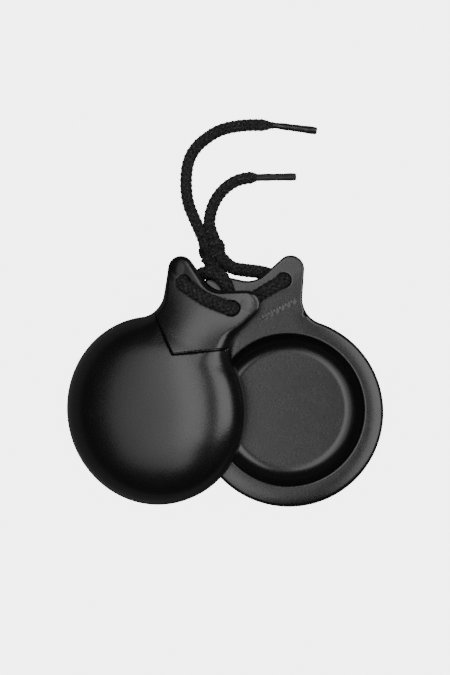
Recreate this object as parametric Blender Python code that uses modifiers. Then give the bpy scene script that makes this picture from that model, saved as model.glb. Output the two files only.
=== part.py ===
"""A pair of castanets joined by one knotted cord, lying fanned on a table.

Each shell is a hollowed bowl with a two-lobed ear. A shell's own frame has its origin at the
middle of the hollow's mouth, +Y towards the ear, and the bowl below Z = 0. The right shell lies
on the back of its bowl. The left shell lies bowl upwards, one side on the table and the other
on the right shell.
"""

import math

import bmesh
import bpy
from mathutils import Matrix, Vector

MM = 0.001

# Bowl
BODY_R = 33.2 * MM
BODY_Y = -0.9 * MM
DEPTH = 15.5 * MM
DOME_POWER = 2.5
FLAT_R = 6.0 * MM
RIM_ROUND = 2.2 * MM
CAVITY_R = 26.6 * MM
FLOOR_R = 19.7 * MM
CAVITY_DEPTH = 7.8 * MM

# Ear
EAR_T = 5.2 * MM
NECK = Vector((23.6, 34.5)) * MM
NECK_R = 9.0 * MM
LOBE = Vector((13.5, 47.7)) * MM
LOBE_R = 4.7 * MM
SADDLE = Vector((0.0, 55.8)) * MM
SADDLE_R = 8.7 * MM
HOLE = Vector((10.1, 44.4)) * MM
HOLE_R = 2.35 * MM
RIDGE_Y = 44.2 * MM
BEVEL_BACK = math.radians(9)
EDGE_ROUND = 1.0 * MM

# Shield, the raised V-shaped plate in which the ear's outer face ends. Its face slopes from
# the ear's thickness up to the bowl, and is eased in at the ear.
SHIELD_TIP_Y = 22.3 * MM
SHIELD_END = Vector((15.6, 32.0)) * MM
SHIELD_PROUD = 0.6 * MM
SHIELD_TOP_Y = 48.0 * MM
SHIELD_RISE = 8.1 * MM
SHIELD_EASE = 0.35
SIDE_INSET = 0.25 * MM

# Where the shells lie
RIGHT_PLACE = Vector((22.2, -13.6, 15.5)) * MM
RIGHT_TURN = math.radians(14.8)
LEFT_PLACE = Vector((-23.2, -12.9, 10.27)) * MM
LEFT_TURN = math.radians(-25.2)
LEFT_SLOPE_X = 0.338
LEFT_SLOPE_Y = 0.045

# Cord
HELD_R = 1.8 * MM
TAIL_R = 1.9 * MM
TIP_R = 1.2 * MM
HELD_STEP = 1.6 * MM
TAIL_STEP = 6.0 * MM
KNOT_PLACE = Vector((-5.3, 42.9, 4.1)) * MM
KNOT_HALF = Vector((5.0, 4.4, 4.1)) * MM

# Routes in millimetres. The front run is in the left shell's own frame: out of one hole, over
# the ear's outer face and into the other. The rest are where they lie.
FRONT_RUN = (
    (-10.1, 44.4, -2.6),
    (-10.1, 44.4, -5.3),
    (-9.5, 44.3, -6.8),
    (-8.0, 44.2, -7.5),
    (-4.5, 43.9, -7.6),
    (0.0, 43.6, -7.7),
    (4.5, 43.9, -7.6),
    (8.0, 44.2, -7.5),
    (9.5, 44.3, -6.8),
    (10.1, 44.4, -5.3),
    (10.1, 44.4, -2.6),
)
LINK_RIGHT = (
    (20.6, 31.9, 13.3),
    (20.6, 31.9, 15.2),
    (20.1, 31.6, 16.7),
    (18.8, 30.8, 17.6),
    (16.3, 29.4, 17.8),
    (12.0, 26.8, 17.9),
    (8.4, 24.6, 18.0),
    (5.8, 22.9, 18.5),
    (4.5, 22.1, 19.7),
    (3.9, 22.0, 21.2),
    (3.2, 21.9, 23.2),
)
LINK_LEFT = (
    (-13.95, 31.1, 17.9),
    (-13.2, 31.2, 15.6),
    (-12.7, 31.4, 14.2),
    (-11.4, 32.3, 13.1),
    (-9.5, 33.4, 13.1),
    (-7.6, 34.3, 14.1),
    (-5.2, 34.7, 16.0),
    (-2.7, 34.0, 17.5),
    (-0.8, 32.2, 17.9),
    (0.5, 30.0, 17.8),
    (0.9, 28.3, 17.5),
    (1.05, 27.1, 16.6),
    (1.1, 26.75, 15.3),
    (1.1, 26.75, 13.3),
)
BACK_RIGHT = (
    (-0.6, 39.3, 5.4),
    (1.2, 37.4, 6.2),
    (3.6, 36.2, 6.8),
    (7.4, 35.6, 7.1),
    (11.7, 35.1, 7.3),
    (15.2, 34.3, 7.4),
    (18.2, 33.1, 7.6),
    (20.0, 32.2, 8.5),
    (20.6, 31.9, 10.2),
    (20.6, 31.9, 12.9),
)
BACK_LEFT = (
    (-4.4, 37.7, 4.4),
    (-2.6, 35.6, 4.8),
    (-0.8, 32.9, 5.6),
    (0.3, 30.1, 6.8),
    (0.9, 27.9, 8.3),
    (1.1, 26.75, 10.3),
    (1.1, 26.75, 12.9),
)
TAIL_UPPER = (
    (-7.9, 47.1, 2.2),
    (-9.0, 49.9, 2.0),
    (-10.4, 53.0, 2.0),
    (-12.9, 59.1, 2.0),
    (-13.8, 64.5, 2.0),
    (-13.7, 70.9, 2.0),
    (-12.5, 75.9, 2.0),
    (-10.0, 79.9, 2.0),
    (-6.7, 82.8, 2.0),
    (-2.5, 85.4, 2.0),
    (2.5, 86.9, 2.0),
    (8.9, 87.6, 2.0),
    (17.2, 87.5, 2.0),
)
TIP_UPPER = (
    (17.5, 87.5, 2.0),
    (21.0, 87.1, 1.8),
    (32.8, 85.6, 1.4),
)
TAIL_LOWER = (
    (-4.2, 47.7, 3.2),
    (-5.1, 50.3, 2.2),
    (-5.6, 53.0, 2.0),
    (-4.6, 58.0, 2.0),
    (-2.4, 62.3, 2.0),
    (0.7, 65.6, 2.0),
    (4.6, 67.9, 2.0),
    (8.9, 68.8, 2.0),
    (11.8, 68.9, 2.0),
)
TIP_LOWER = (
    (12.1, 68.9, 2.0),
    (15.0, 69.0, 1.8),
    (25.4, 69.2, 1.4),
)

# Cutters reach this far beyond the shell, and joined shapes this far into each other.
PAST_EDGE = 30.0 * MM
ABOVE_EAR = 60.0 * MM
OVERLAP = 1.2 * MM
WELD = 0.01 * MM

TURN_STEPS = 48
DOME_STEPS = 11
WALL_STEPS = 6
SLOPE_STEPS = 14


def clear_scene():
    for old in list(bpy.data.objects):
        bpy.data.objects.remove(old, do_unlink=True)


def make_collection(name):
    collection = bpy.data.collections.new(name)
    bpy.context.scene.collection.children.link(collection)
    return collection


def make_material(name, colour, roughness, metallic=0.0):
    material = bpy.data.materials.new(name)
    material.use_nodes = True
    shader = material.node_tree.nodes["Principled BSDF"]
    shader.inputs["Base Color"].default_value = (*colour, 1.0)
    shader.inputs["Roughness"].default_value = roughness
    shader.inputs["Metallic"].default_value = metallic
    return material


def add_object(name, data, collection, place=None):
    item = bpy.data.objects.new(name, data)
    collection.objects.link(item)
    if place is not None:
        item.matrix_world = place
    return item


def hide(cutter):
    cutter.hide_render = True
    cutter.display_type = "WIRE"
    return cutter


def boolean(target, tool, operation):
    modifier = target.modifiers.new(tool.name, "BOOLEAN")
    modifier.operation = operation
    modifier.solver = "EXACT"
    modifier.object = tool


def turned(name, profile, collection, place):
    """A closed turned solid about Z from a profile that runs down its outer side."""
    mesh = bpy.data.meshes.new(name)
    edges = [(i, i + 1) for i in range(len(profile) - 1)]
    mesh.from_pydata([(r, 0.0, z) for r, z in profile], edges, [])
    item = add_object(name, mesh, collection, place)
    screw = item.modifiers.new("Turn", "SCREW")
    screw.steps = TURN_STEPS
    screw.render_steps = TURN_STEPS
    screw.use_merge_vertices = True
    screw.merge_threshold = WELD
    return item


def extruded(name, outline, low, high, collection, place, bevel=0.0):
    """A flat outline in XY made solid between two heights, as a mesh."""
    curve = bpy.data.curves.new(name, "CURVE")
    curve.dimensions = "2D"
    curve.fill_mode = "BOTH"
    curve.extrude = (high - low) / 2
    spline = curve.splines.new("POLY")
    spline.points.add(len(outline) - 1)
    for point, (x, y) in zip(spline.points, outline):
        point.co = (x, y, 0.0, 1.0)
    spline.use_cyclic_u = True
    source = add_object(name, curve, collection)
    bpy.context.view_layer.update()
    evaluated = source.evaluated_get(bpy.context.evaluated_depsgraph_get())
    mesh = bpy.data.meshes.new_from_object(evaluated)
    bpy.data.objects.remove(source)
    soft = bmesh.new()
    soft.from_mesh(mesh)
    bmesh.ops.remove_doubles(soft, verts=soft.verts, dist=WELD)
    bmesh.ops.recalc_face_normals(soft, faces=soft.faces)
    bmesh.ops.translate(soft, verts=soft.verts, vec=(0.0, 0.0, (low + high) / 2))
    soft.to_mesh(mesh)
    soft.free()
    item = add_object(name, mesh, collection, place)
    if bevel:
        rounding = item.modifiers.new("Edges", "BEVEL")
        rounding.width = bevel
        rounding.segments = 3
        rounding.limit_method = "ANGLE"
        rounding.angle_limit = math.radians(60)
    return item


def arc(centre, radius, start, end, steps):
    """Points of an arc, its angles in degrees."""
    points = []
    for i in range(steps + 1):
        angle = math.radians(start + (end - start) * i / steps)
        points.append(centre + radius * Vector((math.cos(angle), math.sin(angle))))
    return points


def crossing(first, first_r, second, second_r, side):
    """The angle in degrees, at first, of the line that crosses over from one circle to the other."""
    apart = second - first
    lean = math.acos((first_r + second_r) / apart.length)
    return math.degrees(math.atan2(apart.y, apart.x) + side * lean)


def mirrored(points):
    return [Vector((-p.x, p.y)) for p in reversed(points)]


def ear_outline(inset=0.0):
    """The ear from inside the bowl, up one side, over both lobes and down the other side."""
    neck_r = NECK_R + inset
    lobe_r = LOBE_R - inset
    saddle_r = SADDLE_R + inset
    body = Vector((0.0, BODY_Y))
    root = Vector((10.0, 12.0)) * MM
    near_middle = 274
    inward = math.degrees(math.atan2(body.y - NECK.y, body.x - NECK.x)) % 360
    neck_end = crossing(NECK, neck_r, LOBE, lobe_r, 1)
    lobe_end = crossing(LOBE, lobe_r, SADDLE, saddle_r, -1)
    side = [root, NECK + (body - NECK).normalized() * (neck_r + OVERLAP)]
    side += arc(NECK, neck_r, inward, neck_end, 7)
    side += arc(LOBE, lobe_r, neck_end - 180, lobe_end, 12)
    side += arc(SADDLE, saddle_r, lobe_end + 180, near_middle, 4)
    return side + mirrored(side)


def shield_outline():
    """The V-shaped plate, wide enough above its ends to take in the whole ear."""
    side = [
        Vector((0.0, SHIELD_TIP_Y)),
        SHIELD_END,
        Vector((PAST_EDGE, SHIELD_END.y + OVERLAP)),
        Vector((PAST_EDGE, ABOVE_EAR)),
    ]
    return side + mirrored(side)[:-1]


def dome_profile(proud=0.0):
    """The bowl's section, from the middle of its face to the middle of its back."""
    radius = BODY_R + proud
    depth = DEPTH + proud
    profile = [(0.0, 0.0)]
    for point in arc(Vector((radius - RIM_ROUND, -RIM_ROUND)), RIM_ROUND, 90, 10, 4):
        profile.append((point.x, point.y))
    first, last = 12, 90
    for i in range(1, DOME_STEPS + 1):
        angle = math.radians(first + (last - first) * i / DOME_STEPS)
        wide = radius * math.cos(angle) ** (2 / DOME_POWER)
        low = depth * math.sin(angle) ** (2 / DOME_POWER)
        if wide > FLAT_R and low > 2 * RIM_ROUND:
            profile.append((wide, -low))
    profile.append((FLAT_R, -depth))
    profile.append((0.0, -depth))
    return profile


def cavity_profile():
    """The hollow: a steep round wall down to a flat floor, with its lid above the face."""
    lid = 3.0 * MM
    profile = [(0.0, lid), (CAVITY_R, lid)]
    for i in range(WALL_STEPS + 1):
        angle = math.radians(90 * i / WALL_STEPS)
        wide = FLOOR_R + (CAVITY_R - FLOOR_R) * math.cos(angle)
        profile.append((wide, -CAVITY_DEPTH * math.sin(angle)))
    profile.append((0.0, -CAVITY_DEPTH))
    return profile


def shield_height(y):
    """How far the ear's outer face stands from the inner face, at this distance up the shell."""
    t = max(0.0, (SHIELD_TOP_Y - y) / (SHIELD_TOP_Y - SHIELD_TIP_Y))
    climb = math.hypot(t, SHIELD_EASE) - SHIELD_EASE
    whole = math.hypot(1.0, SHIELD_EASE) - SHIELD_EASE
    return EAR_T + SHIELD_RISE * climb / whole


def sweep_outline():
    """Side view, as (Y, Z), of all that lies inside the ear's outer face."""
    near = SHIELD_TIP_Y - 6.0 * MM
    points = [Vector((ABOVE_EAR, -OVERLAP)), Vector((ABOVE_EAR, -EAR_T))]
    for i in range(SLOPE_STEPS + 1):
        y = SHIELD_TOP_Y + (near - SHIELD_TOP_Y) * i / SLOPE_STEPS
        points.append(Vector((y, -shield_height(y))))
    points.append(Vector((near, -OVERLAP)))
    return points


def ear_bevel_outline():
    """Side view of the wedge that slopes the inner face back beyond the holes."""
    drop = (ABOVE_EAR - RIDGE_Y) * math.tan(BEVEL_BACK)
    top = 4.0 * MM
    clear = 0.3 * MM
    return [
        Vector((RIDGE_Y, 0.0)),
        Vector((ABOVE_EAR, -drop)),
        Vector((ABOVE_EAR, top)),
        Vector((RIDGE_Y - OVERLAP, top)),
        Vector((RIDGE_Y - OVERLAP, clear)),
    ]


def side_view(place):
    """Turns an outline drawn as (Y, height) so that it stands across the shell."""
    return place @ Matrix(((0, 0, 1, 0), (1, 0, 0, 0), (0, 1, 0, 0), (0, 0, 0, 1)))


def make_shell(name, place, material, parts, cutters):
    """One castanet: the bowl, its ear and shield, less its hollow and two holes."""
    about_body = place @ Matrix.Translation((0.0, BODY_Y, 0.0))
    shell = turned(name, dome_profile(), parts, about_body)
    shell.data.materials.append(material)

    ear = extruded(f"{name}_ear", ear_outline(), -EAR_T, 0.0, cutters, place, EDGE_ROUND)
    proud = turned(f"{name}_proud", dome_profile(SHIELD_PROUD), cutters, about_body)
    wall = (-PAST_EDGE, PAST_EDGE)
    sweep = extruded(f"{name}_sweep", sweep_outline(), *wall, cutters, side_view(place))
    low = -(DEPTH + OVERLAP)
    shield = extruded(f"{name}_shield", shield_outline(), low, -1.5 * MM, cutters, place)
    inner = ear_outline(SIDE_INSET)
    plate = extruded(f"{name}_plate", inner, low, -2.0 * MM, cutters, place)
    for tool in (ear, proud, sweep, shield, plate):
        hide(tool)
    boolean(plate, sweep, "INTERSECT")
    boolean(plate, proud, "UNION")
    boolean(plate, shield, "INTERSECT")
    boolean(shell, ear, "UNION")
    boolean(shell, plate, "UNION")

    hollow = hide(turned(f"{name}_hollow", cavity_profile(), cutters, place))
    boolean(shell, hollow, "DIFFERENCE")
    slope = extruded(f"{name}_slope", ear_bevel_outline(), *wall, cutters, side_view(place))
    boolean(shell, hide(slope), "DIFFERENCE")
    for side in (-1, 1):
        bpy.ops.mesh.primitive_cylinder_add(vertices=24, radius=HOLE_R, depth=4 * EAR_T)
        hole = bpy.context.object
        hole.name = f"{name}_hole"
        hole.matrix_world = place @ Matrix.Translation((side * HOLE.x, HOLE.y, -EAR_T / 2))
        for collection in list(hole.users_collection):
            collection.objects.unlink(hole)
        cutters.objects.link(hole)
        boolean(shell, hide(hole), "DIFFERENCE")
    return shell


def right_frame():
    return Matrix.Translation(RIGHT_PLACE) @ Matrix.Rotation(RIGHT_TURN, 4, "Z")


def left_frame():
    """Bowl upwards, turned about the vertical and sloping up towards the right shell."""
    up = Vector((-LEFT_SLOPE_X, -LEFT_SLOPE_Y, 1.0)).normalized()
    level = Vector((-math.sin(LEFT_TURN), math.cos(LEFT_TURN)))
    rise = LEFT_SLOPE_X * level.x + LEFT_SLOPE_Y * level.y
    along = Vector((level.x, level.y, rise)).normalized()
    axes = Matrix((along.cross(-up), along, -up)).transposed()
    return Matrix.Translation(LEFT_PLACE) @ axes.to_4x4()


def smooth_route(points, step):
    """Points on a smooth curve through the given ones, about a step apart."""
    first = 2 * points[0] - points[1]
    last = 2 * points[-1] - points[-2]
    chain = [first, *points, last]
    route = []
    for before, start, end, after in zip(chain, chain[1:], chain[2:], chain[3:]):
        pieces = max(1, round((end - start).length / step))
        for i in range(pieces):
            t = i / pieces
            route.append(
                0.5
                * (
                    2 * start
                    + (end - before) * t
                    + (2 * before - 5 * start + 4 * end - after) * t**2
                    + (3 * start - before - 3 * end + after) * t**3
                )
            )
    route.append(points[-1])
    return route


def make_cord(name, route_mm, radius, step, material, collection, place=None, taper=1.0):
    """A round tube along a route. Its first end is wider by the taper."""
    place = place or Matrix()
    points = [place @ (Vector(point) * MM) for point in route_mm]
    route = smooth_route(points, step)
    curve = bpy.data.curves.new(name, "CURVE")
    curve.dimensions = "3D"
    curve.bevel_depth = radius
    curve.bevel_resolution = 2
    curve.use_fill_caps = True
    spline = curve.splines.new("POLY")
    spline.points.add(len(route) - 1)
    for point, spot in zip(spline.points, route):
        point.co = (*spot, 1.0)
    spline.points[0].radius = taper
    curve.materials.append(material)
    return add_object(name, curve, collection)


def make_knot(material, collection):
    mesh = bpy.data.meshes.new("knot")
    shape = bmesh.new()
    bmesh.ops.create_uvsphere(shape, u_segments=20, v_segments=12, radius=1.0)
    bmesh.ops.scale(shape, verts=shape.verts, vec=KNOT_HALF)
    shape.to_mesh(mesh)
    shape.free()
    mesh.shade_smooth()
    mesh.materials.append(material)
    return add_object("knot", mesh, collection, Matrix.Translation(KNOT_PLACE))


def make_cords(left, braid, sealed, parts):
    held = (HELD_R, HELD_STEP, braid, parts)
    make_cord("front_run", FRONT_RUN, *held, left)
    make_cord("link_right", LINK_RIGHT, *held)
    make_cord("link_left", LINK_LEFT, *held)
    make_cord("back_right", BACK_RIGHT, *held)
    make_cord("back_left", BACK_LEFT, *held)
    make_knot(braid, parts)
    make_cord("tail_upper", TAIL_UPPER, TAIL_R, TAIL_STEP, braid, parts)
    make_cord("tail_lower", TAIL_LOWER, TAIL_R, TAIL_STEP, braid, parts)
    narrowing = TAIL_R / TIP_R
    make_cord("tip_upper", TIP_UPPER, TIP_R, TAIL_STEP, sealed, parts, taper=narrowing)
    make_cord("tip_lower", TIP_LOWER, TIP_R, TAIL_STEP, sealed, parts, taper=narrowing)


def main():
    clear_scene()
    parts = make_collection("castanets")
    cutters = make_collection("cutters")
    composite = make_material("black_composite", (0.018, 0.018, 0.019), 0.42)
    braid = make_material("black_braid", (0.010, 0.010, 0.011), 0.85)
    sealed = make_material("sealed_cord", (0.015, 0.015, 0.016), 0.45)
    make_shell("right_shell", right_frame(), composite, parts, cutters)
    make_shell("left_shell", left_frame(), composite, parts, cutters)
    make_cords(left_frame(), braid, sealed, parts)


main()
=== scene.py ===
"""Castanets on a pale table: moulded black shells strung on one braided, knotted cord.

Lengths are in millimetres in the shape functions and in metres in Blender. Each shell has a
frame of its own, as in part.py: origin at the middle of the hollow's mouth, +Y towards the
ear, the bowl below Z = 0.
"""

import math

import bpy
import numpy as np
from mathutils import Matrix, Vector


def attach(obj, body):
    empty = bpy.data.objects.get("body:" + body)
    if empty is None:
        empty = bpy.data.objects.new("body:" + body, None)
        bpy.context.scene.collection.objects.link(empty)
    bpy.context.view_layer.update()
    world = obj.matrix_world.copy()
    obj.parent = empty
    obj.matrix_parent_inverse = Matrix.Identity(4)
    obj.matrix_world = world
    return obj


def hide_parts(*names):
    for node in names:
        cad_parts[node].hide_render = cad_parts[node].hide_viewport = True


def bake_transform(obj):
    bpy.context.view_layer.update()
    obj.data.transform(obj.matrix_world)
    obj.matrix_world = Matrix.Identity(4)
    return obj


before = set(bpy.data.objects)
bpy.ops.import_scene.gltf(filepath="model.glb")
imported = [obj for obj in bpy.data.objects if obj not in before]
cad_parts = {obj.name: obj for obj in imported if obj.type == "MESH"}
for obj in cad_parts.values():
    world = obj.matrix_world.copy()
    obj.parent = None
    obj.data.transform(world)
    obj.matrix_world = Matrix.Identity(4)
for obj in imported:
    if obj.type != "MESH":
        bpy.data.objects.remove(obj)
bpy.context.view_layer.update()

MM = 0.001

# Bowl
BODY_R = 33.2
BODY_Y = -0.9
DEPTH = 15.5
DOME_POWER = 2.5
CAVITY_R = 26.6
FLOOR_R = 20.0
CAVITY_DEPTH = 7.8
CAVITY_POWER = 1.9
MOUTH_ROUND = 0.35

# Inner face: it falls away towards the bowl's outline and is flat at the ear. Here and below, a
# pair of numbers that isn't a place gives where a change along the shell starts and ends.
RIM_ROUND = 1.2
RIM_FALL_WIDTH = 5.8
RIM_FALL = 0.9
RIM_FALL_ENDS = (20.0, 34.0)
EAR_RIM_ROUND = 1.0
RIM_TO_EAR = (28.0, 40.0)

# Ear. The neck's circle touches the bowl's, so that the outline runs smoothly into it.
WEB_T = 2.2
WEB_ROUND = 1.0
WEB_FILLET = 4.0
NECK = (23.41, 34.21)
NECK_R = 9.0
LOBE = (13.5, 47.7)
LOBE_R = 4.7
SADDLE = (0.0, 55.8)
SADDLE_R = 8.7
HOLE = (10.1, 44.4)
HOLE_R = 2.35
HOLE_ROUND = 0.55
RIDGE_Y = 44.2
RIDGE_SOFT = 0.3
BEVEL_BACK = math.radians(9)
# How far the core of one half reaches into the other, beyond any rounding
CORE_REACH = 10.0

# Shield, the raised plate that the ear's outer face ends in
SHIELD_TIP_Y = 22.3
SHIELD_END = (15.6, 32.0)
SHIELD_PROUD = 0.6
SHIELD_SOFT = 0.6
SHIELD_BASE = 5.2
SHIELD_RISE = 8.1
SHIELD_EASE = 0.35
SHIELD_TOP_Y = 48.0
SHIELD_CROWN_R = 40.0
EAR_CROWN_R = 68.0
CROWN_CHANGES = (30.0, 46.0)
SHIELD_EDGE = 1.6
LOW_EDGE_MORE = 1.6
LOW_EDGE_ENDS = (34.0, 42.0)
SHIELD_END_ROUND = 0.3
SHIELD_FOOT = 0.15
# Turns a height above the sloping ear into roughly a distance
SLOPE_SQUEEZE = 0.92

# Groove around the shield's tip
GROOVE_R = 0.45
GROOVE_OUT = 0.4
GROOVE_DEEP = 0.3
GROOVE_STOPS = 0.5
GROOVE_ROUND = 0.1

# The bowl swells to meet the shield's ends, less so at its tip
SHOULDER_STEP = 0.5
MIDDLE_STEP_MORE = 1.5
MIDDLE_STEP_ENDS = (4.0, 11.0)
SHOULDER_FALL = 0.25
SHOULDER_R = 4.0
SHOULDER_FILLET = 1.6

# A row of small dents on the right shell's face
DENTS = 6
DENT_START = (0.2, 33.8)
DENT_STEP = (2.2, 0.5)
DENT_BALL_R = 1.3
DENT_DEPTH = 0.26
DENT_ROUND = 0.1

# Where the shells lie
RIGHT_PLACE = (22.2, -13.6, 15.5)
RIGHT_TURN = math.radians(14.8)
LEFT_PLACE = (-23.2, -12.9, 10.27)
LEFT_TURN = math.radians(-25.2)
LEFT_SLOPE = (0.338, 0.045)

# Mesh
GRID = 0.36
RELAX_ROUNDS = 4

# Cord
HELD_R = 2.52
TAIL_R = 2.3
TIP_R = 1.32
TIP_HIDDEN = 1.2
TIP_ROUTE_STEP = 0.3
KNOT_LEAD = 3.6
ROUTE_STEP = 1.0
CARRIERS = 6
BRAID_PITCH = 12.0
BRAID_STEP = 0.2
# A strand's weave and half sizes, as shares of the cord's radius
STRAND_LIFT = 0.17
STRAND_THICK = 0.22
STRAND_WIDE = 0.32
CORE_SIDES = 12
STRAND_SIDES = 8
TIP_SIDES = 24
KNOT_R = 1.85
KNOT_PLACE = (-5.0, 43.7, 3.9)
KNOT_HALF = (3.5, 3.4, 1.9)
KNOT_POINTS = 37

# The camera looks straight down. The view's long side is measured at the right shell's face.
CAMERA_HEIGHT = 700.0
CAMERA_Y = 11.8
VIEW_LONG_SIDE = 236.25

# Studio: each lamp's name, its edges as angles from overhead in X and in Y, and its brightness
TABLE_SIDE = 4.0
TABLE_DROP = 0.0003
TABLE_GLOW = 5.0
WORLD_GLOW = 0.01
LAMP_HEIGHT = 1.6
SOFTBOXES = (
    ("far_left", (-54, -40), (-42, 38), 1.1),
    ("left", (-40, -25), (-28, 39), 1.8),
    ("left_low", (-40, -25), (-42, -28), 1.25),
    ("middle", (-25, 0), (-25, 39), 3.3),
    ("middle_low", (-25, -8), (-42, -25), 2.0),
    ("seam", (0, 17), (-24, 39), 0.3),
    ("right", (17, 54), (-27, 42), 3.4),
)

# Routes as in part.py. The front run is in the left shell's own frame.
FRONT_RUN = (
    (-10.1, 44.4, -2.6),
    (-10.1, 44.4, -5.3),
    (-9.5, 44.3, -6.8),
    (-8.0, 44.2, -7.5),
    (-4.5, 43.9, -7.6),
    (0.0, 43.6, -7.7),
    (4.5, 43.9, -7.6),
    (8.0, 44.2, -7.5),
    (9.5, 44.3, -6.8),
    (10.1, 44.4, -5.3),
    (10.1, 44.4, -2.6),
)
LINK_RIGHT = (
    (20.6, 31.9, 13.3),
    (20.6, 31.9, 15.2),
    (20.1, 31.6, 16.7),
    (18.8, 30.8, 17.6),
    (16.3, 29.4, 17.8),
    (12.0, 26.8, 17.9),
    (8.4, 24.6, 18.0),
    (5.8, 22.9, 18.5),
    (4.5, 22.1, 19.7),
    (3.9, 22.0, 21.2),
    (3.2, 21.9, 23.2),
)
LINK_LEFT = (
    (1.1, 26.75, 13.3),
    (1.1, 26.75, 15.3),
    (1.05, 27.1, 16.6),
    (0.9, 28.3, 17.5),
    (0.5, 30.0, 17.8),
    (-0.8, 32.2, 17.9),
    (-2.7, 34.0, 17.5),
    (-5.2, 34.7, 16.0),
    (-7.6, 34.3, 14.1),
    (-9.5, 33.4, 13.1),
    (-11.4, 32.3, 13.1),
    (-12.7, 31.4, 14.2),
    (-13.2, 31.2, 15.6),
    (-13.95, 31.1, 17.9),
)
BACK_RIGHT = (
    (-0.6, 39.3, 5.4),
    (1.2, 37.4, 6.2),
    (3.6, 36.2, 6.8),
    (7.4, 35.6, 7.1),
    (11.7, 35.1, 7.3),
    (15.2, 34.3, 7.4),
    (18.2, 33.1, 7.6),
    (20.0, 32.2, 8.5),
    (20.6, 31.9, 10.2),
    (20.6, 31.9, 12.9),
)
BACK_LEFT = (
    (-4.4, 37.7, 4.4),
    (-2.6, 35.6, 4.8),
    (-0.8, 32.9, 5.6),
    (0.3, 30.1, 6.8),
    (0.9, 27.9, 8.3),
    (1.1, 26.75, 10.3),
    (1.1, 26.75, 12.9),
)
TAIL_UPPER = (
    (-7.9, 47.1, 2.2),
    (-9.0, 49.9, 2.0),
    (-10.4, 53.0, 2.0),
    (-12.9, 59.1, 2.0),
    (-13.8, 64.5, 2.0),
    (-13.7, 70.9, 2.0),
    (-12.5, 75.9, 2.0),
    (-10.0, 79.9, 2.0),
    (-6.7, 82.8, 2.0),
    (-2.5, 85.4, 2.0),
    (2.5, 86.9, 2.0),
    (8.9, 87.6, 2.0),
    (17.2, 87.5, 2.0),
)
TIP_UPPER = (
    (17.5, 87.5, 2.0),
    (21.0, 87.1, 1.8),
    (32.8, 85.6, 1.4),
)
TAIL_LOWER = (
    (-4.2, 47.7, 3.2),
    (-5.1, 50.3, 2.2),
    (-5.6, 53.0, 2.0),
    (-4.6, 58.0, 2.0),
    (-2.4, 62.3, 2.0),
    (0.7, 65.6, 2.0),
    (4.6, 67.9, 2.0),
    (8.9, 68.8, 2.0),
    (11.8, 68.9, 2.0),
)
TIP_LOWER = (
    (12.1, 68.9, 2.0),
    (15.0, 69.0, 1.8),
    (25.4, 69.2, 1.4),
)


# ---- frames and routes


def right_frame():
    return Matrix.Translation(Vector(RIGHT_PLACE) * MM) @ Matrix.Rotation(RIGHT_TURN, 4, "Z")


def left_frame():
    """Bowl upwards, turned about the vertical and sloping up towards the right shell."""
    up = Vector((-LEFT_SLOPE[0], -LEFT_SLOPE[1], 1.0)).normalized()
    level = Vector((-math.sin(LEFT_TURN), math.cos(LEFT_TURN)))
    rise = LEFT_SLOPE[0] * level.x + LEFT_SLOPE[1] * level.y
    along = Vector((level.x, level.y, rise)).normalized()
    axes = Matrix((along.cross(-up), along, -up)).transposed()
    return Matrix.Translation(Vector(LEFT_PLACE) * MM) @ axes.to_4x4()


def placed(points, matrix):
    """Points in millimetres carried by a matrix that is in metres."""
    return [tuple(matrix @ (Vector(p) * MM) / MM) for p in points]


def smooth_route(points, step):
    """Points evenly spaced on a smooth curve through the given ones."""
    p = np.array(points, float)
    chain = np.vstack([2 * p[0] - p[1], p, 2 * p[-1] - p[-2]])
    fine = []
    t = np.linspace(0, 1, 24, endpoint=False)[:, None]
    for before, start, end, after in zip(chain, chain[1:], chain[2:], chain[3:]):
        fine.append(
            0.5
            * (
                2 * start
                + (end - before) * t
                + (2 * before - 5 * start + 4 * end - after) * t**2
                + (3 * start - before - 3 * end + after) * t**3
            )
        )
    fine = np.vstack([*fine, p[-1:]])
    along = np.concatenate([[0], np.cumsum(np.linalg.norm(np.diff(fine, axis=0), axis=1))])
    at = np.linspace(0, along[-1], max(2, round(along[-1] / step) + 1))
    return np.stack([np.interp(at, along, fine[:, k]) for k in range(3)], axis=1)


# ---- meshes from numbers


def mesh_object(name, points_mm, faces, material, matrix=None, uvs=None):
    """A smooth-shaded object from points in millimetres and faces of one size."""
    faces = np.asarray(faces, np.int32)
    count, sides = faces.shape
    mesh = bpy.data.meshes.new(name)
    mesh.vertices.add(len(points_mm))
    mesh.vertices.foreach_set("co", (np.asarray(points_mm, float) * MM).ravel())
    mesh.loops.add(count * sides)
    mesh.loops.foreach_set("vertex_index", faces.ravel())
    mesh.polygons.add(count)
    mesh.polygons.foreach_set("loop_start", np.arange(count) * sides)
    mesh.update(calc_edges=True)
    mesh.polygons.foreach_set("use_smooth", np.ones(count, bool))
    if uvs is not None:
        layer = mesh.uv_layers.new(name="along")
        layer.data.foreach_set("uv", np.asarray(uvs, float)[faces.ravel()].ravel())
    mesh.materials.append(material)
    mesh.validate()
    if matrix is not None:
        mesh.transform(matrix)
    item = bpy.data.objects.new(name, mesh)
    bpy.context.scene.collection.objects.link(item)
    return item


# ---- the shell as a field: below zero inside, roughly the distance in millimetres


def round_cut(a, b, radius):
    """What lies inside both, its shared edge rounded."""
    corner = np.hypot(np.maximum(a + radius, 0), np.maximum(b + radius, 0))
    return np.minimum(-radius, np.maximum(a, b)) + corner


def round_join(a, b, radius):
    """What lies inside either, its inner corner filled with a fillet."""
    corner = np.hypot(np.maximum(radius - a, 0), np.maximum(radius - b, 0))
    return np.maximum(radius, np.minimum(a, b)) - corner


def soft_max(a, b, width):
    near = np.maximum(width - np.abs(a - b), 0) / width
    return np.maximum(a, b) + near * near * width / 4


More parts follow.
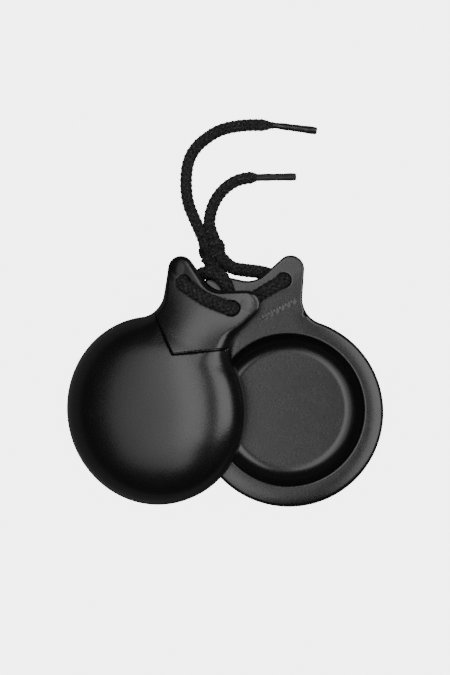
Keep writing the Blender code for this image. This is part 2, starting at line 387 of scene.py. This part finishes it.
def smooth_step(x, low, high):
    t = np.clip((x - low) / (high - low), 0, 1)
    return t * t * (3 - 2 * t)


def polygon_distance(x, y, corners):
    """Signed distance to a closed polygon, below zero inside."""
    best = np.full(np.shape(x), 1e9)
    inside = np.zeros(np.shape(x), bool)
    for (ax, ay), (bx, by) in zip(corners, corners[1:] + corners[:1]):
        dx, dy = bx - ax, by - ay
        t = np.clip(((x - ax) * dx + (y - ay) * dy) / (dx * dx + dy * dy), 0, 1)
        best = np.minimum(best, np.hypot(x - ax - t * dx, y - ay - t * dy))
        crosses = (ay > y) != (by > y)
        with np.errstate(divide="ignore", invalid="ignore"):
            side = x < ax + (y - ay) * dx / (dy if dy else 1e-12)
        inside ^= crosses & side
    return np.where(inside, -best, best)


def crossing(first, first_r, second, second_r, side):
    """The direction, seen from first, of the tangent that crosses from one circle to the other."""
    dx, dy = second[0] - first[0], second[1] - first[1]
    return math.atan2(dy, dx) + side * math.acos((first_r + second_r) / math.hypot(dx, dy))


def on_circle(centre, radius, angle):
    return (centre[0] + radius * math.cos(angle), centre[1] + radius * math.sin(angle))


def ear_core():
    """Half of the ear's straight-sided core. The circles round it off."""
    neck = crossing(NECK, NECK_R, LOBE, LOBE_R, 1)
    top = crossing(LOBE, LOBE_R, SADDLE, SADDLE_R, -1)
    toward = math.atan2(BODY_Y - NECK[1], -NECK[0])
    return [
        (-CORE_REACH, 6.0),
        (12.0, 6.0),
        on_circle(NECK, NECK_R, toward),
        NECK,
        on_circle(NECK, NECK_R, neck),
        on_circle(LOBE, LOBE_R, neck + math.pi),
        LOBE,
        on_circle(LOBE, LOBE_R, top),
        on_circle(SADDLE, SADDLE_R, top + math.pi),
        SADDLE,
        (-CORE_REACH, SADDLE[1]),
    ]


EAR_CORE = ear_core()


def ear_distance(x, y):
    """Distance to the ear's outline, seen from above."""
    x = np.abs(x)
    core = polygon_distance(x, y, EAR_CORE)
    core = np.maximum(core, NECK_R - np.hypot(x - NECK[0], y - NECK[1]))
    core = np.maximum(core, SADDLE_R - np.hypot(x - SADDLE[0], y - SADDLE[1]))
    return np.minimum(core, np.hypot(x - LOBE[0], y - LOBE[1]) - LOBE_R)


def dome_height(x, y):
    rho = np.hypot(x, y - BODY_Y) / BODY_R
    return DEPTH * np.maximum(1 - rho**DOME_POWER, 0) ** (1 / DOME_POWER)


def bulge_distance(wide, deep, width, depth, power):
    """Distance to a superellipse, from places given as shares of its width and depth."""
    size = np.maximum(wide**power + deep**power, 1e-6) ** (1 / power)
    across = wide ** (power - 1) / width
    down = deep ** (power - 1) / depth
    steep = size ** (1 - power) * np.hypot(across, down)
    return (size - 1) / np.maximum(steep, 1e-3)


def dome_distance(x, y, w):
    wide = np.hypot(x, y - BODY_Y) / BODY_R
    return bulge_distance(wide, np.maximum(w, 0) / DEPTH, BODY_R, DEPTH, DOME_POWER)


def cavity_distance(x, y, w):
    """The hollow: a round flat floor with a wall that curves up from it to the mouth."""
    wall = CAVITY_R - FLOOR_R
    wide = np.maximum(np.hypot(x, y) - FLOOR_R, 0) / wall
    deep = np.maximum(w, 0) / CAVITY_DEPTH
    return bulge_distance(wide, deep, wall, CAVITY_DEPTH, CAVITY_POWER)


def slope_height(x, y):
    """How far the ear's outer face stands below the inner face, as it climbs to the bowl."""
    ease = SHIELD_EASE
    t = np.clip((SHIELD_TOP_Y - y) / (SHIELD_TOP_Y - SHIELD_TIP_Y), 0, 1.4)
    climb = (np.hypot(t, ease) - ease) / (math.hypot(1, ease) - ease)
    flatter = smooth_step(y, *CROWN_CHANGES)
    crown = 1 / SHIELD_CROWN_R + (1 / EAR_CROWN_R - 1 / SHIELD_CROWN_R) * flatter
    return SHIELD_BASE + SHIELD_RISE * climb - x * x * crown / 2


def shield_height(x, y):
    return soft_max(slope_height(x, y), dome_height(x, y) + SHIELD_PROUD, SHIELD_SOFT)


def past_shield(x, y):
    """Distance beyond the shield's two lower edges, below zero on the shield."""
    run, rise = SHIELD_END[0], SHIELD_END[1] - SHIELD_TIP_Y
    return (np.abs(x) * rise - (y - SHIELD_TIP_Y) * run) / math.hypot(run, rise)


def bowl_distance(x, y, w, outline):
    """The dome, with its shoulders raised to the shield's ends."""
    step = SHOULDER_STEP + MIDDLE_STEP_MORE * (1 - smooth_step(np.abs(x), *MIDDLE_STEP_ENDS))
    raised = slope_height(x, y) - step - SHOULDER_FALL * np.maximum(past_shield(x, y), 0)
    shoulder = round_cut(outline, (w - raised) * SLOPE_SQUEEZE, SHOULDER_R)
    return round_join(dome_distance(x, y, w), shoulder, SHOULDER_FILLET)


def plate_distance(x, y, w, ear):
    """The shield, which is the outer face of the ear and ends on the bowl."""
    edge = SHIELD_EDGE + LOW_EDGE_MORE * (1 - smooth_step(y, *LOW_EDGE_ENDS))
    plate = round_cut(ear, (w - shield_height(x, y)) * SLOPE_SQUEEZE, edge)
    return round_cut(plate, past_shield(x, y), SHIELD_END_ROUND)


def groove_distance(x, y, ear, bowl):
    """The groove that follows the shield's two lower edges on the bowl."""
    beside = past_shield(x, y) - GROOVE_OUT * GROOVE_R
    groove = np.hypot(beside, bowl + GROOVE_DEEP) - GROOVE_R
    return np.maximum(groove, ear + GROOVE_STOPS)


def face_distance(y, w, outline):
    """The inner face: flat to the ridge, bevelled beyond it, and falling at the bowl's rim."""
    sloped = (y - RIDGE_Y) * math.sin(BEVEL_BACK) - w * math.cos(BEVEL_BACK)
    fall = RIM_FALL * np.maximum(1 + outline / RIM_FALL_WIDTH, 0) ** 2
    fall *= 1 - smooth_step(y, *RIM_FALL_ENDS)
    return soft_max(-w, sloped, RIDGE_SOFT) + fall


def shell_field(x, y, z, dents):
    """Distance to one shell. w is the depth below the plane of the hollow's mouth."""
    w = -z
    ear = ear_distance(x, y)
    outline = np.minimum(ear, np.hypot(x, y - BODY_Y) - BODY_R)
    web = round_cut(outline, w - WEB_T, WEB_ROUND)
    bowl = bowl_distance(x, y, w, outline)
    body = np.maximum(round_join(bowl, web, WEB_FILLET), outline)
    solid = round_join(body, plate_distance(x, y, w, ear), SHIELD_FOOT)
    solid = round_cut(solid, -groove_distance(x, y, ear, bowl), GROOVE_ROUND)

    rim = RIM_ROUND - (RIM_ROUND - EAR_RIM_ROUND) * smooth_step(y, *RIM_TO_EAR)
    solid = round_cut(solid, face_distance(y, w, outline), rim)
    solid = round_cut(solid, -cavity_distance(x, y, w), MOUTH_ROUND)
    hole = HOLE_R - np.hypot(np.abs(x) - HOLE[0], y - HOLE[1])
    solid = round_cut(solid, hole, HOLE_ROUND)
    for cx, cy in dents:
        high = w + DENT_BALL_R - DENT_DEPTH
        ball = DENT_BALL_R - np.sqrt((x - cx) ** 2 + (y - cy) ** 2 + high**2)
        solid = round_cut(solid, ball, DENT_ROUND)
    return solid


def surface_nets(field, low, high, step):
    """Quads along the zero level of a field, one point in each cell that the level crosses."""
    axes = [np.arange(a, b + step, step) for a, b in zip(low, high)]
    grid = np.meshgrid(*axes, indexing="ij")
    values = field(*grid)
    inside = values < 0
    shape = np.array(values.shape) - 1
    corners = [(i, j, k) for i in (0, 1) for j in (0, 1) for k in (0, 1)]

    def corner(array, c):
        return array[c[0] : c[0] + shape[0], c[1] : c[1] + shape[1], c[2] : c[2] + shape[2]]

    count = sum(corner(inside, c).astype(np.int8) for c in corners)
    active = (count > 0) & (count < 8)
    cells = np.argwhere(active)
    number = np.full(active.shape, -1)
    number[active] = np.arange(len(cells))
    at = {c: values[tuple((cells + c).T)] for c in corners}
    total = np.zeros((len(cells), 3))
    hits = np.zeros(len(cells))
    for a in corners:
        for axis in range(3):
            if a[axis]:
                continue
            b = tuple(v + (i == axis) for i, v in enumerate(a))
            cut = (at[a] < 0) != (at[b] < 0)
            share = np.where(cut, at[a] / np.where(cut, at[a] - at[b], 1), 0)
            spot = np.array(a, float) + share[:, None] * np.eye(3)[axis]
            total += spot * cut[:, None]
            hits += cut
    points = (cells + total / hits[:, None]) * step + np.array(low)

    quads = []
    for axis in range(3):
        u, v = (axis + 1) % 3, (axis + 2) % 3
        ahead = np.roll(inside, -1, axis)
        change = inside != ahead
        where = np.argwhere(change)
        top = np.array(inside.shape) - 1
        keep = (where[:, axis] < top[axis]) & (where[:, u] > 0) & (where[:, v] > 0)
        keep &= (where[:, u] < top[u]) & (where[:, v] < top[v])
        where = where[keep]
        du, dv = np.eye(3, dtype=int)[u], np.eye(3, dtype=int)[v]
        ring = [where - du - dv, where - dv, where, where - du]
        quad = np.stack([number[tuple(r.T)] for r in ring], axis=1)
        outward = inside[tuple(where.T)]
        quad[~outward] = quad[~outward][:, ::-1]
        quads.append(quad)
    return points, np.vstack(quads)


def pulled_to_surface(field, points, rounds):
    """Moves points along the field's slope until they lie on its zero level."""
    reach = 0.03
    longest = 0.3
    for _ in range(rounds):
        value = field(*points.T)
        slope = np.stack(
            [
                (field(*(points + d).T) - field(*(points - d).T)) / (2 * reach)
                for d in np.eye(3) * reach
            ],
            axis=1,
        )
        move = value[:, None] * slope / np.maximum((slope**2).sum(1), 0.05)[:, None]
        size = np.linalg.norm(move, axis=1, keepdims=True)
        points = points - move * np.minimum(1, longest / np.maximum(size, 1e-9))
    return points


def relaxed(field, points, quads, rounds):
    """Evens the mesh out: each point goes half way to its neighbours' middle, then back."""
    a = quads.ravel()
    b = np.roll(quads, -1, axis=1).ravel()
    ends = np.concatenate([a, b])
    others = np.concatenate([b, a])
    degree = np.bincount(ends, minlength=len(points))[:, None]
    for _ in range(rounds):
        middle = np.stack(
            [np.bincount(ends, points[others, k], len(points)) for k in range(3)], axis=1
        )
        points = points + 0.5 * (middle / degree - points)
        points = pulled_to_surface(field, points, 1)
    return pulled_to_surface(field, points, 2)


def make_shell(name, matrix, material, dents=()):
    def field(x, y, z):
        return shell_field(x, y, z, dents)

    low = (-BODY_R - 1.0, BODY_Y - BODY_R - 1.0, -DEPTH - 1.0)
    high = (BODY_R + 1.0, LOBE[1] + LOBE_R + 1.0, 1.0)
    points, quads = surface_nets(field, low, high, GRID)
    points = relaxed(field, points, quads, RELAX_ROUNDS)
    return mesh_object(name, points, quads, material, matrix)


# ---- braided cord


def travelling_frames(route):
    """Side- and up-directions at each point of a route, turning as little as they can."""
    along = np.gradient(route, axis=0)
    along /= np.linalg.norm(along, axis=1, keepdims=True)
    first = np.eye(3)[np.argmin(np.abs(along[0]))]
    side = np.cross(along[0], first)
    sides = []
    for direction in along:
        side = side - direction * side.dot(direction)
        side /= np.linalg.norm(side)
        sides.append(side)
    sides = np.array(sides)
    return sides, np.cross(along, sides)


def tube(centres, radial, side, half_radial, half_side, sides):
    """A closed tube of oval section: its points, its quads and each point's row and turn."""
    turn = np.arange(sides) * 2 * math.pi / sides
    thick = np.broadcast_to(half_radial, len(centres))[:, None, None]
    wide = np.broadcast_to(half_side, len(centres))[:, None, None]
    ring = (
        centres[:, None]
        + radial[:, None] * thick * np.cos(turn)[:, None]
        + side[:, None] * wide * np.sin(turn)[:, None]
    )
    rows = np.arange(len(centres) - 1)[:, None] * sides
    k = np.arange(sides)
    after = (k + 1) % sides
    quads = np.stack([rows + k, rows + after, rows + sides + after, rows + sides + k], axis=2)
    half = np.arange(sides // 2 - 1)
    cap = np.stack([half, sides - 1 - half, sides - 2 - half, half + 1], axis=1)
    end = cap[:, ::-1] + (len(centres) - 1) * sides
    run = np.repeat(np.arange(len(centres)), sides)
    around = np.tile(k / sides, len(centres))
    uvs = np.stack([run, around], axis=1)
    return ring.reshape(-1, 3), np.vstack([quads.reshape(-1, 4), cap, end]), uvs


def joined(tubes):
    points, quads, uvs = [], [], []
    start = 0
    for number, (p, q, uv) in enumerate(tubes):
        points.append(p)
        quads.append(q + start)
        uvs.append(uv + (0, number))
        start += len(p)
    return np.vstack(points), np.vstack(quads), np.vstack(uvs)


def braided(points, radius, share=(0.0, 1.0), slim=(0.0, 0.0)):
    """Strands that wind both ways over a core, each over one and under the next.

    slim gives the lengths over which the first and the last end narrow to a sealed tip.
    """
    route = smooth_route(points, BRAID_STEP)
    across, up = travelling_frames(route)
    s = np.arange(len(route)) * BRAID_STEP
    size = np.ones(len(route))
    for length, distance in zip(slim, (s, s[-1] - s)):
        if length:
            size *= TIP_R / radius + (1 - TIP_R / radius) * smooth_step(distance, 0, length)
    first, last = (round(v * (len(route) - 1)) for v in share)
    part = slice(first, last + 1)
    lift = STRAND_LIFT * radius
    thick = STRAND_THICK * radius
    wide = STRAND_WIDE * radius
    middle = radius - lift - thick
    core = ((middle - lift / 2) * size)[part]
    tubes = [tube(route[part], across[part], up[part], core, core, CORE_SIDES)]
    for way in (1, -1):
        rise = way * lift * np.cos(2 * math.pi * CARRIERS * s / BRAID_PITCH)
        for number in range(CARRIERS):
            angle = 2 * math.pi * (number / CARRIERS + way * s / BRAID_PITCH)
            radial = across * np.cos(angle)[:, None] + up * np.sin(angle)[:, None]
            centre = route + radial * ((middle + rise) * size)[:, None]
            heading = np.gradient(centre, axis=0)
            side = np.cross(heading, radial)
            side /= np.linalg.norm(side, axis=1, keepdims=True)
            level = np.cross(side, heading)
            level /= np.linalg.norm(level, axis=1, keepdims=True)
            half_sizes = (thick * size)[part], (wide * size)[part]
            tubes.append(tube(centre[part], level[part], side[part], *half_sizes, STRAND_SIDES))
    return joined(tubes)


def make_braid(name, points, radius, material, **options):
    mesh_points, quads, uvs = braided(points, radius, **options)
    return mesh_object(name, mesh_points, quads, material, uvs=uvs)


def make_tip(name, points, material, neck, wobble):
    """A sealed cord end: the braid melted hard, a little uneven, cut square."""
    start, after = np.array(points[0]), np.array(points[1])
    hidden = start + (start - after) / np.linalg.norm(after - start) * TIP_HIDDEN
    route = smooth_route([hidden, *points[1:]], TIP_ROUTE_STEP)
    across, up = travelling_frames(route)
    s = np.linspace(0, 1, len(route))
    radius = neck + (TIP_R - neck) * smooth_step(s, 0, 0.5)
    radius *= 1 + wobble * np.sin(9 * s) + 0.6 * wobble * np.sin(23 * s + 1)
    edge = np.array([0.0, 0.55, 0.85, 1.0])
    radius[-1:-5:-1] *= 0.82 + 0.18 * np.sqrt(1 - (1 - edge) ** 2)
    points, quads, uvs = tube(route, across, up, radius, radius, TIP_SIDES)
    return mesh_object(name, points, quads, material, uvs=uvs)


def knot_points(centre, half):
    """A closed trefoil that fits in a box."""
    turn = np.linspace(0, 2 * math.pi, KNOT_POINTS)
    ring = (2 + np.cos(3 * turn)) / 3
    unit = np.stack([ring * np.cos(2 * turn), ring * np.sin(2 * turn), np.sin(3 * turn)], 1)
    return np.array(centre) + unit * half


def lead_in(points):
    """The short stretch by which a route comes out of the knot."""
    start, after = np.array(points[0]), np.array(points[1])
    way = (after - start) / np.linalg.norm(after - start)
    return [start - way * KNOT_LEAD, start - way * KNOT_LEAD / 2, start]


def make_knot(material):
    parts = [braided(knot_points(KNOT_PLACE, KNOT_HALF), KNOT_R)]
    for points, radius in (
        (TAIL_UPPER, TAIL_R),
        (TAIL_LOWER, TAIL_R),
        (BACK_RIGHT, HELD_R),
        (BACK_LEFT, HELD_R),
    ):
        parts.append(braided(lead_in(points), radius))
    points, quads, uvs = joined(parts)
    return mesh_object("knot_wraps", points, quads, material, uvs=uvs)


# ---- materials


class Shader:
    """Builds one Principled material from named nodes."""

    def __init__(self, name):
        self.material = bpy.data.materials.new(name)
        self.material.use_nodes = True
        self.nodes = self.material.node_tree.nodes
        self.links = self.material.node_tree.links
        self.surface = self.nodes["Principled BSDF"]

    def node(self, kind, inputs=None, **settings):
        node = self.nodes.new("ShaderNode" + kind)
        for key, value in settings.items():
            setattr(node, key, value)
        for key, value in (inputs or {}).items():
            if isinstance(value, bpy.types.NodeSocket):
                self.links.new(value, node.inputs[key])
            else:
                node.inputs[key].default_value = value
        return node

    def noise(self, where, scale, detail=3.0, rough=0.5):
        inputs = {"Vector": where, "Scale": scale, "Detail": detail, "Roughness": rough}
        return self.node("TexNoise", inputs).outputs["Fac"]

    def spread(self, value, low, high, to_low=0.0, to_high=1.0):
        inputs = {0: value, 1: low, 2: high, 3: to_low, 4: to_high}
        return self.node("MapRange", inputs).outputs[0]

    def maths(self, operation, a, b):
        return self.node("Math", {0: a, 1: b}, operation=operation).outputs[0]

    def mix(self, share, a, b):
        node = self.node("Mix", {0: share}, data_type="RGBA")
        for key, value in ((6, a), (7, b)):
            if isinstance(value, bpy.types.NodeSocket):
                self.links.new(value, node.inputs[key])
            else:
                node.inputs[key].default_value = value
        return node.outputs[2]

    def bump(self, height, depth, before=None):
        inputs = {"Height": height, "Distance": depth}
        if before is not None:
            inputs["Normal"] = before
        return self.node("Bump", inputs).outputs["Normal"]

    def wire(self, **inputs):
        for key, value in inputs.items():
            self.links.new(value, self.surface.inputs[key.replace("_", " ")])


def composite_material():
    """Dense black moulded composite: satin, finely grained, a little greyer where it is worn."""
    s = Shader("black_composite")
    where = s.node("TexCoord").outputs["Object"]
    cloud = s.noise(where, 55.0, 4.0)
    grain = s.noise(where, 1500.0, 4.0, 0.6)
    scuff_place = s.node("Mapping", {"Vector": where, "Scale": (160.0, 900.0, 160.0)})
    scuff = s.spread(s.noise(scuff_place.outputs[0], 1.0, 4.0), 0.6, 0.8)
    edge = s.spread(s.node("NewGeometry").outputs["Pointiness"], 0.56, 0.70)
    worn = s.maths("MULTIPLY", edge, s.spread(s.noise(where, 420.0, 4.0), 0.35, 0.7))

    deep, pale = (0.0042, 0.0042, 0.0044, 1), (0.0054, 0.0054, 0.0054, 1)
    colour = s.mix(s.spread(cloud, 0.3, 0.7), deep, pale)
    colour = s.mix(s.maths("MULTIPLY", worn, 0.5), colour, (0.020, 0.020, 0.019, 1))
    rough = s.spread(s.noise(where, 140.0, 5.0), 0.3, 0.7, 0.235, 0.275)
    rough = s.maths("ADD", rough, s.maths("MULTIPLY", scuff, 0.015))
    rough = s.maths("ADD", rough, s.spread(grain, 0.3, 0.7, -0.03, 0.03))
    rough = s.maths("ADD", rough, s.maths("MULTIPLY", worn, 0.08))
    normal = s.bump(grain, 0.000025)
    normal = s.bump(cloud, 0.00001, normal)
    s.wire(Base_Color=colour, Roughness=rough, Normal=normal)
    s.surface.inputs["IOR"].default_value = 1.52
    return s.material


def cord_material(name, dark, light, roughness):
    """Black braided polyester: twisted filaments with paler flecks, and a painted highlight on the
    strands' crowns.
    """
    s = Shader(name)
    where = s.node("TexCoord").outputs["Object"]
    lay = s.node("UVMap", uv_map="along").outputs["UV"]
    twist = s.node("Mapping", {"Vector": lay, "Rotation": (0, 0, 0.5), "Scale": (0.6, 9.0, 1)})
    thread = s.node("TexWave", {"Vector": twist.outputs[0], "Scale": 1.0, "Distortion": 1.5})
    fibre = thread.outputs["Fac"]
    cloud = s.noise(where, 260.0, 4.0)
    # Painted highlight: strand crowns, picked out by pointiness and varied by noise, are mixed
    # towards the light colour.
    crown = s.spread(s.node("NewGeometry").outputs["Pointiness"], 0.48, 0.6)
    share = s.maths("MULTIPLY", crown, s.spread(cloud, 0.3, 0.7, 0.4, 1.0))
    yarn = s.spread(s.noise(where, 900.0, 2.0), 0.4, 0.62)
    share = s.maths("MULTIPLY", share, s.maths("ADD", yarn, 0.25))
    colour = s.mix(share, dark, light)
    colour = s.mix(s.maths("MULTIPLY", fibre, 0.25), colour, light)
    fluff = s.spread(s.noise(where, 1300.0, 2.0), 0.54, 0.68)
    colour = s.mix(s.maths("MULTIPLY", fluff, 0.8), colour, (0.045, 0.045, 0.046, 1))
    rough = s.spread(cloud, 0.3, 0.7, roughness - 0.06, roughness + 0.08)
    normal = s.bump(fibre, 0.00006)
    normal = s.bump(s.noise(where, 4000.0, 3.0), 0.00004, normal)
    s.wire(Base_Color=colour, Roughness=rough, Normal=normal)
    s.surface.inputs["Specular IOR Level"].default_value = 0.35
    return s.material


def tip_material(name, low, high, sheen_rough):
    """Cord end that was sealed: hard, streaked lengthwise where the strands ran together."""
    s = Shader(name)
    where = s.node("TexCoord").outputs["Object"]
    lay = s.node("UVMap", uv_map="along").outputs["UV"]
    streak_place = s.node("Mapping", {"Vector": lay, "Scale": (0.05, 9.0, 1)})
    streak = s.noise(streak_place.outputs[0], 1.6, 3.0)
    cloud = s.noise(where, 500.0, 4.0)
    edge = s.spread(s.node("NewGeometry").outputs["Pointiness"], 0.52, 0.65)
    colour = s.mix(s.spread(cloud, 0.3, 0.7), low, high)
    colour = s.mix(s.maths("MULTIPLY", edge, 0.5), colour, (0.02, 0.02, 0.019, 1))
    rough = s.spread(streak, 0.3, 0.7, sheen_rough - 0.06, sheen_rough + 0.08)
    normal = s.bump(streak, 0.00018)
    normal = s.bump(cloud, 0.00006, normal)
    s.wire(Base_Color=colour, Roughness=rough, Normal=normal)
    return s.material


def table_material():
    s = Shader("pale_table")
    s.surface.inputs["Base Color"].default_value = (0.12, 0.12, 0.12, 1)
    s.surface.inputs["Roughness"].default_value = 0.8
    s.surface.inputs["Specular IOR Level"].default_value = 0.1
    s.surface.inputs["Emission Color"].default_value = (1, 1, 1, 1)
    seen = s.node("LightPath").outputs["Is Camera Ray"]
    s.wire(Emission_Strength=s.maths("MULTIPLY", seen, TABLE_GLOW))
    return s.material


# ---- the studio


def make_camera():
    data = bpy.data.cameras.new("camera")
    data.sensor_width = 36.0
    distance = CAMERA_HEIGHT - RIGHT_PLACE[2]
    data.lens = data.sensor_width * distance / VIEW_LONG_SIDE
    data.clip_end = 10.0
    camera = bpy.data.objects.new("camera", data)
    camera.location = (0.0, CAMERA_Y * MM, CAMERA_HEIGHT * MM)
    bpy.context.scene.collection.objects.link(camera)
    bpy.context.scene.camera = camera


def make_table():
    bpy.ops.mesh.primitive_plane_add(size=TABLE_SIDE, location=(0, 0, -TABLE_DROP))
    table = bpy.context.object
    table.name = "table"
    table.data.materials.append(table_material())


def make_softbox(name, across, along, brightness):
    """A rectangular lamp level with the table, given by its edges as seen from the castanets."""
    west, east, south, north = (
        LAMP_HEIGHT * math.tan(math.radians(angle)) for angle in (*across, *along)
    )
    data = bpy.data.lights.new(name, "AREA")
    data.shape = "RECTANGLE"
    data.size = east - west
    data.size_y = north - south
    data.energy = brightness * math.pi * data.size * data.size_y
    lamp = bpy.data.objects.new(name, data)
    lamp.location = ((west + east) / 2, (south + north) / 2, LAMP_HEIGHT)
    bpy.context.scene.collection.objects.link(lamp)


def make_studio():
    world = bpy.data.worlds.new("studio")
    world.use_nodes = True
    world.node_tree.nodes["Background"].inputs["Color"].default_value = (1, 1, 1, 1)
    world.node_tree.nodes["Background"].inputs["Strength"].default_value = WORLD_GLOW
    bpy.context.scene.world = world
    for name, across, along, brightness in SOFTBOXES:
        make_softbox(name, across, along, brightness)


# ---- the castanets


def make_pieces():
    right, left = right_frame(), left_frame()
    composite = composite_material()
    dark, light = (0.0015, 0.0015, 0.0017, 1), (0.014, 0.014, 0.0145, 1)
    braid = cord_material("black_braid", dark, light, 0.6)
    glossy = tip_material("glossy_tip", (0.004, 0.004, 0.004, 1), (0.008, 0.008, 0.008, 1), 0.24)
    matte = tip_material("matte_tip", (0.003, 0.003, 0.003, 1), (0.009, 0.009, 0.009, 1), 0.62)

    def finished(item, nodes, body=None):
        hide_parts(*nodes)
        if body:
            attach(item, body)
        return item

    # The cords come first.
    for name, points, tip_points, tip_finish, neck, wobble, slim in (
        ("upper", TAIL_UPPER, TIP_UPPER, glossy, 1.0, 0.05, 4.2),
        ("lower", TAIL_LOWER, TIP_LOWER, matte, 1.25, 0.04, 2.6),
    ):
        tail = make_braid("braid_tail_" + name, points, TAIL_R, braid, slim=(0.0, slim))
        tip = make_tip("sealed_tip_" + name, tip_points, tip_finish, neck, wobble)
        finished(tip, ["tip_" + name], "base")
        finished(tail, ["tail_" + name], "base")
        route = smooth_route(points, ROUTE_STEP) * MM

    finished(make_knot(braid), ["knot"], "base")
    for name, points in (("right", BACK_RIGHT), ("left", BACK_LEFT)):
        run = make_braid("braid_back_" + name, points, HELD_R, braid)
        finished(run, ["back_" + name], "base")
    front = make_braid("braid_front_run", placed(FRONT_RUN, left), HELD_R, braid)
    finished(front, ["front_run"], "upper")

    for name, points in (("right", LINK_RIGHT), ("left", LINK_LEFT)):
        route = smooth_route(points, ROUTE_STEP) * MM
        near = make_braid(f"braid_link_{name}_near", points, HELD_R, braid, share=(0.0, 0.5))
        far = make_braid(f"braid_link_{name}_far", points, HELD_R, braid, share=(0.5, 1.0))
        finished(near, ["link_" + name])
        finished(far, ["link_" + name])
        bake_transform(near)
        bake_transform(far)

    dents = [
        (DENT_START[0] + n * DENT_STEP[0], DENT_START[1] + n * DENT_STEP[1]) for n in range(DENTS)
    ]
    shell = make_shell("shell_right", right, composite, dents)
    finished(shell, ["right_shell"], "base")
    shell = make_shell("shell_left", left, composite)
    finished(shell, ["left_shell"], "upper")


make_camera()
make_table()
make_studio()
make_pieces()
